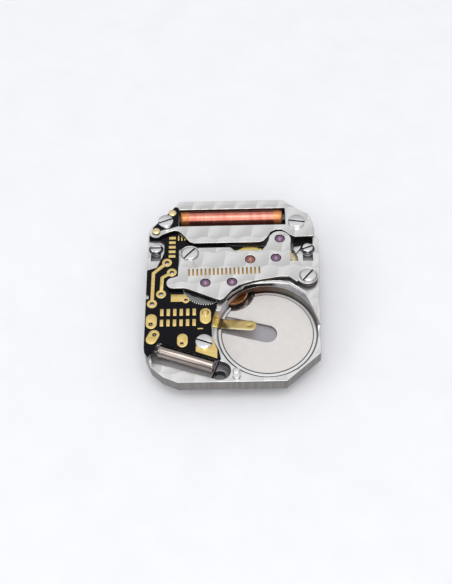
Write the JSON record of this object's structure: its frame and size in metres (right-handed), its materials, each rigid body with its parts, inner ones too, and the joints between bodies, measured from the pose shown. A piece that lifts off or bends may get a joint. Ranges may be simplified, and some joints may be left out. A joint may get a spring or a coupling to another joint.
{
  "type": "watch movement",
  "caption": "Slim two-hand quartz form movement for a wristwatch, with coil, circuit board, gear train and an empty button-cell well, hand pipes on the dial side.",
  "frame": {"origin": "on the hands' axis, at the height of the dial seat on the main plate's dial side", "axes": "+Z from the dial side to the bridge side, +X away from the winding stem, +Y towards the coil"},
  "size_m": [0.0126, 0.0151, 0.004],
  "materials": {
    "nickel_plate": "satin",
    "steel": "polished",
    "brass_wheel": "satin",
    "gold": "satin",
    "black_board": "gloss",
    "moulding": "matt",
    "copper": "satin",
    "ruby": "polished",
    "soft_iron": "satin",
    "magnet": "satin",
    "insulating_film": "matt",
    "can": "polished"
  },
  "bodies": {
    "frame": {"main_plate": "nickel_plate", "train_bridge": "nickel_plate", "bridge_jewels": "ruby", "plate_jewels": "ruby", "centre_wheel_bridge": "nickel_plate", "motion_cover": "nickel_plate", "motion_cover_screws": "steel", "stator": "soft_iron", "coil_core": "soft_iron", "coil_winding": "copper", "coil_plate": "nickel_plate", "coil_board": "black_board", "coil_board_pads": "gold", "circuit_board": "black_board", "circuit_tracks": "gold", "ground_contact": "gold", "ic_chip": "moulding", "crystal_can": "can", "crystal_leads": "can", "battery_contact_foot": "gold", "battery_insulator": "insulating_film", "battery_post": "steel", "train_bridge_screws": "steel", "coil_board_screw": "steel", "coil_plate_screw": "steel", "circuit_screw": "steel"},
    "rotor": {"rotor_magnet": "magnet", "rotor_pinion": "steel"},
    "first": {"first_wheel": "brass_wheel", "first_pinion": "steel"},
    "second": {"second_wheel": "gold", "second_lower_wheel": "steel"},
    "upper_centre": {"upper_centre_wheel": "gold", "upper_centre_pinion": "steel"},
    "third": {"third_wheel": "steel", "third_pinion": "steel"},
    "centre": {"centre_wheel": "brass_wheel", "centre_arbor": "steel"},
    "cannon": {"cannon_pinion": "steel"},
    "minute": {"minute_wheel": "brass_wheel", "minute_pinion": "steel"},
    "hour": {"hour_wheel": "brass_wheel"},
    "setting": {"setting_wheel": "steel"},
    "lever": {"setting_lever": "steel"},
    "yoke": {"yoke": "steel"},
    "clutch": {"sliding_pinion": "steel"},
    "contact_blade": {"battery_contact_blade": "gold"},
    "foot_screw_left": {"dial_foot_screw_left": "steel"},
    "foot_screw_right": {"dial_foot_screw_right": "steel"}
  },
  "joints": [
    {"name": "upper_centre_turn", "type": "hinge", "parent": "frame", "child": "upper_centre", "pos_m": [0, 0, 0.001], "axis": [0, 0, 1], "continuous": true},
    {"name": "rotor_turn", "type": "hinge", "parent": "frame", "child": "rotor", "pos_m": [0.00357, 0.00381, 0.001], "axis": [0, 0, 1], "continuous": true},
    {"name": "first_turn", "type": "hinge", "parent": "frame", "child": "first", "pos_m": [0.00323, 0.00207, 0.001], "axis": [0, 0, 1], "continuous": true},
    {"name": "second_turn", "type": "hinge", "parent": "frame", "child": "second", "pos_m": [0.00135, 0.00197, 0.001], "axis": [0, 0, 1], "continuous": true},
    {"name": "third_turn", "type": "hinge", "parent": "frame", "child": "third", "pos_m": [-0.00192, -0.00003, 0.001], "axis": [0, 0, 1], "continuous": true},
    {"name": "centre_turn", "type": "hinge", "parent": "frame", "child": "centre", "pos_m": [0, 0, 0.001], "axis": [0, 0, 1], "continuous": true},
    {"name": "cannon_turn", "type": "hinge", "parent": "frame", "child": "cannon", "pos_m": [0, 0, 0.001], "axis": [0, 0, 1], "continuous": true},
    {"name": "minute_turn", "type": "hinge", "parent": "frame", "child": "minute", "pos_m": [-0.00084, 0.00146, 0.001], "axis": [0, 0, 1], "continuous": true},
    {"name": "hour_turn", "type": "hinge", "parent": "frame", "child": "hour", "pos_m": [0, 0, 0.001], "axis": [0, 0, 1], "continuous": true},
    {"name": "setting_turn", "type": "hinge", "parent": "frame", "child": "setting", "pos_m": [-0.00272, 0.00092, 0.001], "axis": [0, 0, 1], "continuous": true},
    {"name": "setting_lever_turn", "type": "hinge", "parent": "frame", "child": "lever", "pos_m": [-0.00505, 0.00135, 0.00015], "axis": [0, 0, -1], "range_deg": [0, 14.78]},
    {"name": "yoke_turn", "type": "hinge", "parent": "frame", "child": "yoke", "pos_m": [-0.00387, -0.0023, 0.00015], "axis": [0, 0, -1], "range_deg": [0, 8.72]},
    {"name": "sliding_pinion_slide", "type": "slide", "parent": "frame", "child": "clutch", "axis": [1, 0, 0], "range_m": [0, 0.00035]},
    {"name": "battery_contact_flex", "type": "hinge", "parent": "frame", "child": "contact_blade", "pos_m": [-0.00076, -0.0027, 0.0011], "axis": [0.2672, 0.9636, 0], "range_deg": [0, 18], "stiffness_Nm_per_rad": 0.00005},
    {"name": "dial_foot_screw_left_turn", "type": "hinge", "parent": "frame", "child": "foot_screw_left", "pos_m": [-0.0056, 0.00336, 0.0015], "axis": [0, 0, 1], "range_deg": [0, 180]},
    {"name": "dial_foot_screw_right_turn", "type": "hinge", "parent": "frame", "child": "foot_screw_right", "pos_m": [0.0056, 0.00314, 0.0015], "axis": [0, 0, 1], "range_deg": [0, 180]}
  ],
  "couplings": [
    {"joint": "second_turn", "follows": "upper_centre_turn", "ratio": -0.83333},
    {"joint": "first_turn", "follows": "upper_centre_turn", "ratio": 3},
    {"joint": "rotor_turn", "follows": "upper_centre_turn", "ratio": -18},
    {"joint": "third_turn", "follows": "upper_centre_turn", "ratio": -0.16667},
    {"joint": "centre_turn", "follows": "upper_centre_turn", "ratio": 0.05},
    {"joint": "cannon_turn", "follows": "upper_centre_turn", "ratio": 0.05},
    {"joint": "minute_turn", "follows": "upper_centre_turn", "ratio": -0.016667},
    {"joint": "hour_turn", "follows": "upper_centre_turn", "ratio": 0.0041667},
    {"joint": "setting_turn", "follows": "upper_centre_turn", "ratio": 0.03},
    {"joint": "setting_lever_turn", "follows": "sliding_pinion_slide", "rad_per_m": 736.63},
    {"joint": "yoke_turn", "follows": "sliding_pinion_slide", "rad_per_m": 433.95}
  ]
}
